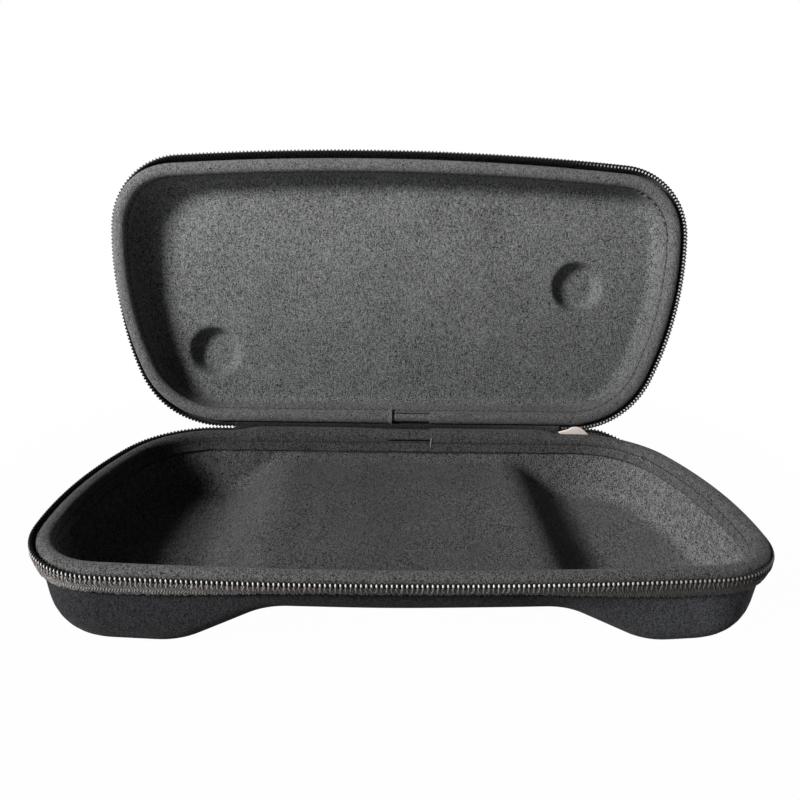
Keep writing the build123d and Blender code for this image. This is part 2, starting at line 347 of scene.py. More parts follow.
def makeLintGroup():
    # a few pale specks of lint caught in dark cloth
    t, given, made = newGroup("lintSpecks", {"Amount": 0.2, "Spread": 260.0}, ("Mask",))
    cells = put(t, "ShaderNodeTexVoronoi", Vector=objectPlace(t), Scale=given["Spread"])
    near = math2(t, "LESS_THAN", cells.outputs["Distance"], 0.085)
    pick = put(t, "ShaderNodeSeparateColor", Color=cells.outputs["Color"]).outputs[0]
    few = math2(t, "LESS_THAN", pick, given["Amount"])
    t.links.new(times(t, near, few), made["Mask"])
    return t


def makeTapeGroup():
    # woven tape: ribs of slanted yarn that turn back at each rib
    t, given, made = newGroup("tapeWeave", {"Yarn": 0.9, "Rib": 1.5}, ("Mask", "Height", "PaleTone"))
    run = alongRun(t)
    across = math2(t, "DIVIDE", run[1], given["Rib"])
    zigzag = math2(t, "PINGPONG", across, 1.0)
    stray = noise(t, objectPlace(t), 420.0, Detail=2.0)
    zigzag = plus(t, zigzag, times(t, stray, 1.6))
    slanted = plus(t, math2(t, "DIVIDE", run[0], given["Yarn"]), zigzag)
    yarn = math2(t, "SINE", times(t, slanted, 2 * math.pi))
    yarn = plus(t, times(t, yarn, 0.5), 0.5)
    ribs = math2(t, "ABSOLUTE", math2(t, "SINE", times(t, across, math.pi)))
    height = times(t, yarn, plus(t, times(t, ribs, 0.5), 0.5))
    t.links.new(yarn, made["Mask"])
    t.links.new(height, made["Height"])
    t.links.new(run[2], made["PaleTone"])
    return t


def makePaintedSeamGroup():
    # painted shade beside a sewn edge that lies at a set depth from the closing plane
    t, given, made = newGroup("painted_seam_shade", {"Way": (0.0, 0.0, -1.0), "Start": 0.0, "Edge": 0.008}, ("Mask",))
    place = objectPlace(t)
    deep = reachAlong(t, place, given["Way"])
    past = minus(t, minus(t, deep, given["Start"]), given["Edge"])
    wobble = noise(t, place, 260.0, Detail=2.0)
    past = plus(t, past, times(t, minus(t, wobble, 0.5), 0.001))
    fall = minus(t, 1.0, band(t, past, 0.0003, 0.0014))
    t.links.new(times(t, band(t, past, -0.0008, -0.0001), fall), made["Mask"])
    return t


def makePaintedLightGroup():
    # painted light and shade: a slow change of tone across a cloth along one way
    inputs = {"Color": (0.1, 0.1, 0.1, 1), "Way": (1.0, 0.0, 0.0), "From": 0.0, "To": 0.1, "Low": 0.9, "High": 1.1}
    t, given, made = newGroup("painted_light_tone", inputs, ("Color",))
    reach = reachAlong(t, objectPlace(t), given["Way"])
    share = band(t, reach, given["From"], given["To"])
    tone = ramp(t, share, 0.0, 1.0, given["Low"], given["High"])
    scaled = put(t, "ShaderNodeVectorMath", {"operation": "SCALE"}, i0=given["Color"], Scale=tone)
    t.links.new(scaled.outputs[0], made["Color"])
    return t


fleckGroup, lintGroup, tapeGroup = makeFleckGroup(), makeLintGroup(), makeTapeGroup()
paintedSeamGroup, paintedLightGroup = makePaintedSeamGroup(), makePaintedLightGroup()


def newMaterial(name):
    material = bpy.data.materials.new(name)
    material.use_nodes = True
    tree = material.node_tree
    return material, tree, tree.nodes["Principled BSDF"]


def clothMaterial(name, look):
    material, t, shader = newMaterial(name)
    fleck = placed(t, fleckGroup, Dark=look["dark"], Light=look["light"], Grain=look["grain"], Patch=look["patch"])
    lint = placed(t, lintGroup, Amount=look["lint"], Spread=look["lintSpread"])
    colour = mixColour(t, times(t, lint["Mask"], 0.55), fleck["Color"], look["lintColour"])
    height = fleck["Height"]
    if "yarn" in look:
        weave = placed(t, tapeGroup, Yarn=look["yarn"], Rib=look["rib"])
        share = times(t, weave["Mask"], look["yarnMix"])
        if look.get("paleTone"):
            share = times(t, share, weave["PaleTone"])
        colour = mixColour(t, share, colour, look["yarnColour"])
        height = plus(t, times(t, height, 0.35), weave["Height"])
    if "paintedLight" in look:
        # painted light and shade: the colour is scaled from Low to High along one way
        way, fromAt, toAt, low, high = look["paintedLight"]
        colour = placed(t, paintedLightGroup, Color=colour, Way=way, From=fromAt, To=toAt, Low=low, High=high)["Color"]
    if "paintedShadeSeam" in look:
        # painted shade: the colour darkens towards near black in a band beside the binding's sewn edge
        way, start, edge = look["paintedShadeSeam"]
        paintedShadeSeam = placed(t, paintedSeamGroup, Way=way, Start=start, Edge=edge)
        colour = mixColour(t, times(t, paintedShadeSeam["Mask"], 0.8), colour, grey(0.01))
    bump = put(t, "ShaderNodeBump", Strength=look["bump"], Distance=look["depth"], Height=height).outputs[0]
    rough = ramp(t, fleck["Height"], 0.0, 1.0, *look["rough"])
    feed(t, shader, {"Base Color": colour, "Normal": bump, "Roughness": rough, "Specular IOR Level": 0.0})
    feed(t, shader, {"Sheen Weight": look["sheen"], "Sheen Roughness": 0.55})
    return material


def grey(value, tint=(1.0, 1.0, 1.0)):
    return (value * tint[0], value * tint[1], value * tint[2], 1.0)


def paintedSeamAt(half, edge):
    # where the painted shade beside a sewn edge goes: the way out of a half from its closing plane, where that plane
    # lies, and how far off the sewn edge is
    way = Vector((0, 0, -1)) if half == "tray" else Vector((0, math.sin(openAngle), math.cos(openAngle)))
    return tuple(way), way.dot(Vector((hingeX, hingeY, hingeZ))) * mm, edge * mm


# painted light and shade in the looks: the lid cloth darker towards the bottom, the tray lining and outer cloth
# brighter towards the right, the tray binding darker at the back left
lidLiningLook = {
    "dark": grey(0.018, (1, 1, 1.04)), "light": grey(0.310, (0.975, 1, 1.02)), "grain": 1900.0, "patch": 0.22,
    "lint": 0.10, "lintSpread": 300.0, "lintColour": grey(0.42), "bump": 0.45, "depth": 0.0006,
    "rough": (0.95, 0.8), "sheen": 0.05, "paintedShadeSeam": paintedSeamAt("lid", 7.8), "paintedLight": ((0.0, 0.0, 1.0), 0.05, 0.16, 0.76, 1.1),
}
trayLiningLook = dict(
    lidLiningLook, dark=grey(0.004), light=grey(0.184, (0.985, 1, 1.03)), paintedShadeSeam=paintedSeamAt("tray", 10.2),
    paintedLight=((1.0, 0.0, 0.0), -0.02, 0.16, 0.74, 1.6),
)
outerLook = {
    "dark": grey(0.004, (1, 1, 1.1)), "light": grey(0.038, (0.95, 0.98, 1.08)), "grain": 1900.0, "patch": 0.25,
    "lint": 0.05, "lintSpread": 240.0, "lintColour": grey(0.16), "bump": 0.4, "depth": 0.0004,
    "rough": (0.9, 0.75), "sheen": 0.05, "paintedLight": ((1.0, 0.0, 0.0), 0.03, 0.13, 1.2, 3.9),
}
lidBindingLook = {
    "dark": grey(0.016), "light": grey(0.208, (1, 1, 1.01)), "grain": 1900.0, "patch": 0.15,
    "lint": 0.10, "lintSpread": 300.0, "lintColour": grey(0.4), "bump": 0.4, "depth": 0.0004,
    "rough": (0.92, 0.78), "sheen": 0.08, "yarn": 0.9, "rib": 1.0, "yarnMix": 0.25, "yarnColour": grey(0.15),
    "paintedLight": ((0.0, 0.0, 1.0), 0.05, 0.16, 0.92, 1.35),
}
trayBindingLook = dict(
    lidBindingLook, dark=grey(0.004), light=grey(0.160), yarnColour=grey(0.11),
    paintedLight=((0.35, -0.94, 0.0), -0.09, 0.06, 0.52, 1.15),
)
tapeLook = {
    "dark": grey(0.012, (1.04, 1, 0.97)), "light": grey(0.088, (1.06, 1, 0.95)), "grain": 1500.0, "patch": 0.3,
    "lint": 0.12, "lintSpread": 300.0, "lintColour": grey(0.3), "bump": 0.5, "depth": 0.0004,
    "rough": (0.85, 0.65), "sheen": 0.1, "yarn": 1.1, "rib": 2.2, "yarnMix": 0.85, "paleTone": True,
    "yarnColour": grey(0.41, (1.06, 1, 0.97)),
}
threadLook = {
    "dark": grey(0.008), "light": grey(0.05), "grain": 2600.0, "patch": 0.1, "lint": 0.0, "lintSpread": 300.0,
    "lintColour": grey(0.3), "bump": 0.4, "depth": 0.0002, "rough": (0.7, 0.55), "sheen": 0.1,
}
paleThreadLook = dict(threadLook, dark=grey(0.16), light=grey(0.42))
lining = {
    "tray": clothMaterial("tray_heather_lining", trayLiningLook),
    "lid": clothMaterial("lid_heather_lining", lidLiningLook),
}
bindingCloth = {
    "tray": clothMaterial("tray_binding_cloth", trayBindingLook),
    "lid": clothMaterial("lid_binding_cloth", lidBindingLook),
}
outerCloth, tapeCloth = clothMaterial("outer_cloth", outerLook), clothMaterial("zip_tape_weave", tapeLook)
thread, paleThread = clothMaterial("dark_thread", threadLook), clothMaterial("pale_thread", paleThreadLook)


def hazeMaterial(name, dark, light, scale, rough):
    # dark and slightly uneven, with little shine
    material, t, shader = newMaterial(name)
    haze = noise(t, objectPlace(t), scale, Detail=3.0)
    colour, rough = mixColour(t, haze, dark, light), ramp(t, haze, 0.3, 0.7, *rough)
    feed(t, shader, {"Base Color": colour, "Roughness": rough, "Specular IOR Level": 0.08})
    return material


def paleMaskMaterial(name, plain, paleColour, rough, shine):
    # dark where "along" y is low and pale where it is high; on the coil heads this pale is a painted highlight
    material, t, shader = newMaterial(name)
    haze = noise(t, objectPlace(t), 900.0, Detail=2.0)
    paleShare = times(t, alongRun(t)[1], plus(t, times(t, haze, 0.5), 0.65))
    colour, rough = mixColour(t, paleShare, plain, paleColour), ramp(t, paleShare, 0.0, 0.9, *rough)
    feed(t, shader, {"Base Color": colour, "Roughness": rough, "Specular IOR Level": shine})
    return material


nickelLook = {
    "dull": (0.90, 0.81, 0.76, 1), "bright": (0.97, 0.88, 0.83, 1), "metallic": 0.12, "rough": (0.26, 0.42),
    "smear": 260.0, "brushed": (120.0, 900.0, 900.0),
}


def nickelMaterial(look):
    material, t, shader = newMaterial("satin_nickel")
    place = objectPlace(t)
    grain = noise(t, put(t, "ShaderNodeMapping", Vector=place, Scale=look["brushed"]).outputs[0], 3.0, Detail=4.0)
    smear = noise(t, place, look["smear"], Detail=3.0)
    colour, rough = mixColour(t, smear, look["dull"], look["bright"]), ramp(t, grain, 0.3, 0.7, *look["rough"])
    bump = put(t, "ShaderNodeBump", Strength=0.12, Distance=0.0002, Height=grain).outputs[0]
    feed(t, shader, {"Base Color": colour, "Roughness": rough, "Normal": bump, "Metallic": look["metallic"]})
    return material


nylon = hazeMaterial("coil_nylon", grey(0.008), grey(0.028), 420.0, (0.4, 0.6))
# painted highlight: pale colour on the coil heads where their shine mask is high
paintedHighlightNylon = paleMaskMaterial("coil_head_painted_highlight", grey(0.010), (0.74, 0.72, 0.69, 1), (0.75, 0.3), 0.2)
coilThread = paleMaskMaterial("coil_sewing_thread", grey(0.016), (0.34, 0.315, 0.30, 1), (0.9, 0.8), 0.03)
nickel = nickelMaterial(nickelLook)
blackMetal = hazeMaterial("black_plated_metal", grey(0.01), grey(0.03), 500.0, (0.5, 0.7))
print("materials made")

# Shells: one closed skin each, lining inside and dark cloth outside

trayShape = {
    "depth": 39.5, "draft": 5.0, "round": 11.5, "footSwell": 8.0, "innerRound": 7.5, "rimTop": 1.6,
    "columns": 400, "wallRows": 12, "roundRows": 9, "innerRows": 62, "outerRows": 44, "uneven": 0.28, "seed": 11,
    "hollow": {"middle": 19.5, "width": 122.0, "topRound": 20.0, "slope": 52.0, "footRound": 28.0, "shift": 0.0},
    "arch": {"middle": 20.4, "width": 119.0, "topRound": 34.0, "slope": 62.0, "footRound": 36.0, "shift": 4.0},
}
lidShape = {
    "depth": 24.0, "draft": 12.0, "round": 14.0, "innerRound": 5.5, "rimTop": 1.6,
    "columns": 400, "wallRows": 9, "roundRows": 9, "innerRows": 92, "outerRows": 50, "uneven": 0.35, "seed": 23,
    "sticks": [(105.0, 39.0), (-101.0, 79.5)], "recess": (7.3, 6.0),
    "stickInner": (15.0, 10.2), "stickOuter": (18.0, 11.0),
    "creases": [((62, 66), (94, 88), 0.30, 3.0), ((70, 60), (92, 72), 0.22, 2.5),
                ((-30, 46), (-78, 54), 0.30, 3.2), ((-20, 38), (-60, 44), 0.2, 3.0)],
}


def trayFloor(shape, inset):
    form = shape["hollow" if inset else "arch"]
    rise = math.radians(90 - form["slope"])
    depth, middle = shape["depth"] - inset, form["middle"] - inset
    top, foot = form["topRound"] + inset, form["footRound"] - inset
    halfTop = form["width"] / 2 + inset * math.tan(rise / 2)
    halfFoot = halfTop + (depth - middle) / math.tan(rise)
    topStart, footEnd = halfTop - top * math.tan(rise / 2), halfFoot + foot * math.tan(rise / 2)

    def floorAt(u, v):
        a = np.abs(u - form["shift"])
        w = np.where(a < halfTop, middle, middle + (a - halfTop) * math.tan(rise))
        on = (a > topStart) & (a < topStart + top * math.sin(rise))
        w = np.where(on, middle + top - np.sqrt(np.maximum(top ** 2 - (a - topStart) ** 2, 0)), w)
        w = np.where(a <= topStart, middle, w)
        on = (a < footEnd) & (a > footEnd - foot * math.sin(rise))
        w = np.where(on, depth - foot + np.sqrt(np.maximum(foot ** 2 - (footEnd - a) ** 2, 0)), w)
        return np.where(a >= footEnd, depth, w)

    return floorAt


def lidFloor(shape, inset):
    outerR, innerR = shape["stickInner"] if inset else shape["stickOuter"]
    recess = shape["recess"][0 if inset else 1]

    def floorAt(u, v):
        w = np.full_like(u, shape["depth"] - inset)
        for pu, pv in shape["sticks"]:
            w = w + recess * (1 - smooth(np.hypot(u - pu, v - pv), innerR, outerR))
        return w

    return floorAt


def shellSide(half, shape, inset, floorAt, rows):
    # rows of places from the rim down the wall, round the edge and in to the middle
    at, length = rimLine(half, inset)
    base, normal = at(np.linspace(0, length, shape["columns"], endpoint=False))
    draft, bend = math.radians(shape["draft"]), shape["innerRound" if inset else "round"]
    floorW = floorAt(base[:, 0], base[:, 1])
    if "footSwell" in shape and not inset:
        ends = smooth(floorW, shape["arch"]["middle"], shape["depth"]) * normal[:, 0] ** 2
        bend = bend + shape["footSwell"] * ends  # rounder at the outer ends of the wells
    centreW = floorW - bend
    centreI = np.maximum(centreW - caseSize["collar"], 0) * math.tan(draft) + bend / math.cos(draft)
    wallEnd = centreW + bend * math.sin(draft)
    out = []

    def row(insetBy, w):
        out.append(withDepth(base + normal * insetBy[:, None], w))

    rim = shape["rimTop"]
    for k in np.linspace(0, 1, shape["wallRows"], endpoint=False):
        w = rim + (wallEnd - rim) * k
        row(np.maximum(w - caseSize["collar"], 0) * math.tan(draft), w)
    for turn in np.linspace(draft, math.pi / 2, shape["roundRows"], endpoint=False):
        row(centreI - bend * math.cos(turn), centreW + bend * math.sin(turn))
    edge = base + normal * centreI[:, None]
    middle = np.array([0.0, caseSize["zipDepth"] / 2 - 2])
    for k in np.linspace(1, 0, rows, endpoint=False):
        p = middle + (edge - middle) * k
        out.append(withDepth(p, floorAt(p[:, 0], p[:, 1])))
    p = np.concatenate([middle, floorAt(middle[:1], middle[1:])])
    return np.array(out), p


def creaseDepth(shape, p):
    total = np.zeros(p.shape[:-1])
    for (u0, v0), (u1, v1), deep, wide in shape.get("creases", []):
        way = np.array([u1 - u0, v1 - v0], float)
        t = np.clip(((p[..., :2] - (u0, v0)) @ way) / (way @ way), 0, 1)
        gap = np.linalg.norm(p[..., :2] - (np.array([u0, v0]) + t[..., None] * way), axis=-1)
        total += deep * np.exp(-(gap / wide) ** 2) * np.sin(math.pi * np.clip(t, 0.02, 0.98))
    return total


unevenForm = {"inner": 46.0, "outer": 60.0, "outerShare": 0.5, "rimShare": 0.4, "flat": 0.3}


def makeShell(half, shape, floorMaker, node):
    inner, innerMid = shellSide(half, shape, wall, floorMaker(shape, wall), shape["innerRows"])
    outer, outerMid = shellSide(half, shape, 0, floorMaker(shape, 0), shape["outerRows"])
    form, skirt = unevenForm, shape["wallRows"] // 2
    # nothing is uneven beside the rim, and what the case lies on stays flat
    ease = [np.clip(np.arange(len(rows)) / skirt - form["rimShare"], 0, 1)[:, None] for rows in (inner, outer)]
    ripples = shape["uneven"] * ripple(inner, form["inner"], shape["seed"])
    inner[..., 2] += (ripples - creaseDepth(shape, inner)) * ease[0]
    above = outer[..., 2] < shape["depth"] - form["flat"]
    ripples = form["outerShare"] * shape["uneven"] * ripple(outer, form["outer"], shape["seed"] + 1)
    outer[..., 2] += ripples * ease[1] * above
    rows = np.concatenate([outer[::-1], inner])
    count, cols = rows.shape[:2]
    places = np.concatenate([rows.reshape(-1, 3), [outerMid, innerMid]])
    faces = cappedFaces(count, cols)
    outside = len(outer) * cols
    side = [0] * outside + [1] * ((count - 1) * cols - outside) + [0] * cols + [1] * cols
    piece = addMesh(half + "_shell_foam", toWorld(half, places), faces, parts=side)
    piece.data.materials.append(outerCloth)
    piece.data.materials.append(lining[half])
    settle(piece, half, "case_fabric", None, node)
    return piece


makeShell("tray", trayShape, trayFloor, "tray_shell")
makeShell("lid", lidShape, lidFloor, "lid_shell")
print("shells made")

# Edge bindings: a cloth tape folded over each rim and sewn through, its ends short of each other at the back

bindingShape = {
    "thick": 0.9, "top": 0.3, "shoulder": 3.4, "outerLeg": 4.0, "step": 0.8, "stitchLine": 4.9, "stitch": 3.0,
    "stitchGap": 0.7, "dimple": 0.42, "pucker": 0.14, "cornerPucker": 0.8, "hemWave": 0.14, "hemCrimp": 0.4,
    "cornerV": (88.0, 118.0), "cornerU": (95.0, 118.0), "endStep": 0.55, "lastFade": 0.35,
    "curl": {"tray": (0.0, 1.2), "lid": (0.45, 1.2)}, "endFade": {"tray": 30.0, "lid": 0.35},
    "hingeRoll": {"tray": 2.05, "lid": 0.5}, "hingeRise": {"tray": 2.0, "lid": 0.0}, "hingeReach": 20.0,
    "rollFade": {"tray": (74.0, 93.0), "lid": (98.0, 112.0)}, "innerLeg": {"tray": 10.2, "lid": 7.8},
    "ends": {"tray": (-30.0, 17.6), "lid": (-17.6, 4.0)}, "endRows": (0.7, 12), "sectionSteps": (3, 15, 14, 7),
    "overPower": 0.8, "hiddenRise": 1.9, "clear": 0.06, "grooveWide": 0.6, "thinAt": (4.5, 0.5),
    "slowWave": (5.0, 37.0, 2.2, 5), "crimpWave": (1.25, 1.3, 0.31), "threadLift": 0.08,
}
stitchLook = {"radius": 0.3, "sides": 6, "rings": 6, "sink": 0.3, "slot": "binding_fabric", "material": thread}


def bindingSection(half, shape):
    # outer face from the outside leg over the top and down the inside leg, then back along the hidden face
    t, middle, leg = shape["thick"], wall / 2, shape["innerLeg"][half]
    shoulder, clear = shape["shoulder"], shape["clear"]
    outerSteps, overSteps, innerSteps, hiddenSteps = shape["sectionSteps"]
    face = [(-t, w) for w in np.linspace(shape["outerLeg"], shoulder, outerSteps, endpoint=False)]
    for turn in np.linspace(0, math.pi, overSteps):
        rise = (shoulder - shape["top"]) * math.sin(turn) ** shape["overPower"]
        face.append((middle - (middle + t) * math.cos(turn), shoulder - rise))
    face += [(wall + t, w) for w in np.linspace(shoulder, leg - 0.35, innerSteps)[1:]]
    face += [(wall + t * 0.85, leg - 0.1), (wall + t * 0.5, leg)]
    hidden = [(wall - 0.1, leg - 0.1), (wall + clear, shoulder)]
    for turn in np.linspace(math.pi, 0, hiddenSteps)[1:-1]:
        hidden.append((middle - (middle + 0.05) * math.cos(turn), shoulder - shape["hiddenRise"] * math.sin(turn)))
    hidden += [(-clear, shoulder), (-clear, shape["outerLeg"] - 0.1), (-t * 0.5, shape["outerLeg"] + 0.05)]
    return np.array(face), np.array(hidden)


def backPlace(runs, length):
    return np.where(runs > length / 2, runs - length, runs)


def makeBinding(half, shape, draft, node):
    at, length = rimLine(half)
    face, hidden = bindingSection(half, shape)
    section = np.concatenate([face, hidden])
    pitch = length / round(length / (shape["stitch"] + shape["stitchGap"]))
    first, last = shape["ends"][half]
    near, count = shape["endRows"]
    close = [np.linspace(e - near, e + near, count) % length for e in (first, last)]
    runs = np.unique(np.concatenate([np.linspace(0, length, int(length / shape["step"]), endpoint=False)] + close))
    base, normal = at(runs)
    u = backPlace(runs, length)
    gap = smooth(u, first, first + shape["endFade"][half]) * (1 - smooth(u, last - shape["lastFade"], last))
    high, wide = shape["curl"][half]
    curl = high * np.exp(-((u - last) / wide) ** 2) * (u > last - 0.1)
    lift = curl - shape["endStep"] * gap
    nearHinge = (1 - smooth(np.abs(u), *shape["rollFade"][half])) * (base[:, 1] < shape["hingeReach"])
    roll = shape["hingeRoll"][half] * nearHinge + sideShare(normal, rimSpread[half])
    rise = shape["hingeRise"][half] * nearHinge
    i = np.repeat(section[None, :, 0], len(runs), 0)
    w = np.repeat(section[None, :, 1], len(runs), 0)
    shown = (np.arange(len(section)) < len(face))[None, :]
    inside = (section[:, 0] > wall / 2)[None, :]
    spot = np.abs(np.mod(runs / pitch, 1.0) - 0.5) * 2  # 1 at each needle hole
    groove = np.exp(-((w - shape["stitchLine"]) / shape["grooveWide"]) ** 2) * inside * shown
    groove = groove * (0.4 + 0.6 * spot ** 6)[:, None]
    run, turn, size, seed = shape["slowWave"]
    wave = ripple(np.stack([runs / run, np.cos(runs / turn)], -1), size, seed)[:, None]
    corner = (smooth(base[:, 1], *shape["cornerV"]) * smooth(np.abs(base[:, 0]), *shape["cornerU"]))[:, None]
    fast, stray, slow = shape["crimpWave"]
    crimp = np.sin(runs * fast + stray * np.sin(runs * slow))[:, None] * corner
    leg = shape["innerLeg"][half]
    deep = smooth(w, *(leg - gone for gone in shape["thinAt"])) * inside * shown
    swell = (shape["pucker"] * wave + shape["cornerPucker"] * crimp) * deep
    outerShare = np.clip((wall + shape["thick"] - i) / (wall + 2 * shape["thick"]), 0, 1) * shown
    i = i + np.where(inside, 1, -1) * (lift[:, None] * shown) - shape["dimple"] * groove + swell
    i = i - roll[:, None] * outerShare + np.maximum(w - caseSize["collar"], 0) * math.tan(math.radians(draft)) * inside
    over = np.clip((shape["shoulder"] - w) / (shape["shoulder"] - shape["top"]), 0, 1)
    hem = (shape["hemWave"] * wave + shape["hemCrimp"] * crimp) * (w > leg - 0.6) * inside
    w = w - rise[:, None] * over - lift[:, None] * shown * (w < shape["shoulder"]) + hem
    places = withDepth(base[:, None, :] + normal[:, None, :] * i[..., None], w)
    across = np.cumsum(np.r_[0, np.hypot(*np.diff(section, axis=0).T)])
    along = np.stack([np.repeat(runs[:, None], len(section), 1), np.repeat(across[None], len(runs), 0), i * 0], -1)
    ring = sweptPiece(half + "_edge_binding", half, places, along.reshape(-1, 3), True)
    settle(ring, half, "binding_fabric", bindingCloth[half], node)
    stitchRuns = np.arange(round(length / pitch)) * pitch
    spots, inward = at(stitchRuns)
    drop = np.interp(backPlace(stitchRuns, length), np.sort(u), lift[np.argsort(u)])[:, None]
    # the thread lies in its groove
    reach = wall + shape["thick"] - shape["dimple"] * 0.4 + shape["threadLift"] + drop
    centres, lifts = withDepth(spots + inward * reach, shape["stitchLine"]), withDepth(inward, 0.0)
    threadRow(half + "_binding_stitches", half, centres, tangentTo(inward), lifts, shape["stitch"], stitchLook)


def threadRow(name, half, centres, tangents, lifts, length, look, along=None):
    # short runs of thread that dive into the cloth at both ends
    k = np.linspace(-0.5, 0.5, look["rings"])
    arch = 1 - (2 * np.abs(k)) ** 4
    line = centres[:, None] + tangents[:, None] * (k * length)[None, :, None]
    line = line + lifts[:, None] * ((arch - 1) * look["sink"])[None, :, None]
    ring = ringAt(np.cross(tangents, lifts), lifts, circle(look["sides"]))
    places = line[:, :, None] + look["radius"] * ring[:, None]
    n, r, a = places.shape[:3]
    faces = []
    for row in range(n):
        faces += tubeFaces(r, a, row * r * a)
    if along is not None:
        along = np.repeat(along[:, None], r * a, 1).reshape(-1, 3)
    piece = addMesh(name, toWorld(half, places), faces, along)
    return settle(piece, half, look["slot"], look["material"])


makeBinding("tray", bindingShape, trayShape["draft"], "tray_binding")
makeBinding("lid", bindingShape, lidShape["draft"], "lid_binding")
print("bindings and stitches made")

# Loose thread ends on the bindings

looseThreads = {
    "radius": 0.22, "sides": 7, "rings": 14,
    "tray": [(17.3, [(1.2, 0.2), (3.2, 0.1), (5.4, 1.5), (6.0, 3.0), (6.2, 5.0), (6.1, 7.4)], 0.5),
             (139.0, [(6.1, 5.2), (6.6, 5.6), (6.3, 6.4)], 3.2), (146.0, [(6.1, 5.0), (6.7, 5.3), (6.2, 6.6)], 2.6)],
    "lid": [(-214.0, [(6.1, 5.0), (6.8, 5.4), (6.3, 6.0)], 2.6), (-221.0, [(6.2, 6.4), (6.9, 6.8), (6.4, 7.6)], 3.4),
            (-228.0, [(6.1, 5.0), (6.6, 5.6), (6.2, 6.0)], 2.0)],
}


def makeLooseThreads(half, shape):
    at, _ = rimLine(half)
    verts, faces = [], []
    for start, line, slide in shape[half]:
        t = np.linspace(0, 1, shape["rings"])
        knots = np.linspace(0, 1, len(line))
        i, w = (np.interp(t, knots, [p[k] for p in line]) for k in (0, 1))
        base, normal = at(start + slide * t + 0.25 * np.sin(5 * t))
        p = withDepth(base + normal * i[:, None], w)
        ahead = unit(np.gradient(p, axis=0))
        side = unit(np.cross(ahead, np.array([0.31, 0.52, 0.79])))
        ring = p[:, None] + shape["radius"] * ringAt(side, np.cross(side, ahead), circle(shape["sides"]))
        faces += tubeFaces(shape["rings"], shape["sides"], len(verts) * shape["rings"] * shape["sides"])
        verts.append(ring.reshape(-1, 3))
    piece = addMesh(half + "_loose_threads", toWorld(half, np.concatenate(verts)), faces)
    settle(piece, half, "binding_fabric", paleThread)


for half in ("tray", "lid"):
    makeLooseThreads(half, looseThreads)
print("loose threads made")

# Zip: woven tapes, nylon coils with bead-like heads

zipShape = {
    "inset": 0.9, "back": 0.5, "drop": 1.7, "tapeEnd": 89.6, "sliderLift": 2.0, "liftFade": (110.0, 130.0),
    "slackDrop": {"tray": 3.0, "lid": 2.8}, "slackInset": {"tray": -1.3, "lid": -1.5}, "lidSlackFade": (30.0, 75.0),
}
zipPaleTone = {
    "lid": 0.45, "lidLeft": (60.0, 120.0), "front": (60.0, 128.0), "left": (10.0, 90.0), "right": (10.0, 130.0),
    "rightLoss": 0.3,
}
tapeShape = {
    "thick": 0.7, "crest": 0.9, "foot": 10.4, "frontFoot": 7.6, "hem": 1.5, "belly": 0.35, "fray": 0.3, "relief": 0.16,
    "frontV": (125.0, 140.0), "frontU": (35.0, 105.0), "edge": 0.35, "lidEdge": 0.75, "lidEdgeU": (60.0, 110.0),
    "step": {"tray": 0.4, "lid": 1.0}, "rows": {"tray": 19, "lid": 9}, "backRows": 6,
    "seat": {"tray": 0.5, "lid": 0.95}, "sewnAt": (0.55, 0.95), "slowWave": (6.0, 50.0, 3.0, 8),
    "fringeWave": (2.4, 2.0, 0.7), "hemWave": 0.2, "faceWave": 0.15, "facePower": 1.3,
}
coilShape = {
    "pitch": 1.9, "tall": 1.15, "wide": {"tray": 0.5, "lid": 0.85}, "wire": 0.36, "perTurn": 14, "sides": 6,
    "core": 0.3, "coreStep": 7, "head": {"tray": (0.44, 0.55, 0.78), "lid": (0.46, 0.72, 0.5)}, "headGrid": (5, 10),
    "headPhase": 0.75, "headOut": {"tray": 0.42, "lid": -0.5}, "headUp": {"tray": 0.25, "lid": 1.05},
    "shineV": (104.0, 130.0), "shineU": (40.0, 145.0), "lidShine": (85.0, 130.0),
}
coilStitchLook = {
    "radius": 0.27, "sides": 6, "rings": 7, "sink": 0.25, "slot": "zip_tape", "material": coilThread,
    "long": 2.3, "slant": 0.28, "seed": 31, "below": 1.75, "out": 0.62,
}
down = np.array([0.0, 0.0, 1.0])  # away from the closing plane


def zipPlaces(half, runs):
    # centre line of the coil with its inward normals; the slack side hangs lower
    at, _ = outlinePath(zipShape["inset"], zipShape["back"])
    base, normal = at(runs)
    side = np.clip(-normal[:, 0], 0, 1)
    slack = np.where(base[:, 1] < caseSize["widest"], smooth(side, 0.25, 0.75), side ** 2)
    loose = slack if half == "tray" else slack * (0.15 + 0.85 * (1 - smooth(base[:, 1], *zipShape["lidSlackFade"])))
    base = base + normal * (zipShape["slackInset"][half] * loose)[:, None]
    drop = zipShape["drop"] + zipShape["slackDrop"][half] * slack
    if half == "tray":
        drop = drop - zipShape["sliderLift"] * (1 - smooth(runs, *zipShape["liftFade"]))
    return base, normal, drop, loose


def paleToneAt(half, base):
    # how pale the zip's tape yarn and coil thread are: most at the front left, little at the back
    if half == "lid":
        return zipPaleTone["lid"] * smooth(-base[:, 0], *zipPaleTone["lidLeft"])
    left, right = smooth(-base[:, 0], *zipPaleTone["left"]), smooth(base[:, 0], *zipPaleTone["right"])
    return smooth(base[:, 1], *zipPaleTone["front"]) * (0.5 + 0.5 * left) * (1 - zipPaleTone["rightLoss"] * right)


def zipRun(half):
    # the stretch of the outline that carries the zip, from its start round to its far end
    length = outlinePath(zipShape["inset"], zipShape["back"])[1]
    start, end = caseSize["chainStart"], caseSize["coilEnd"]
    return (start, length - end) if half == "tray" else (end, length - start)


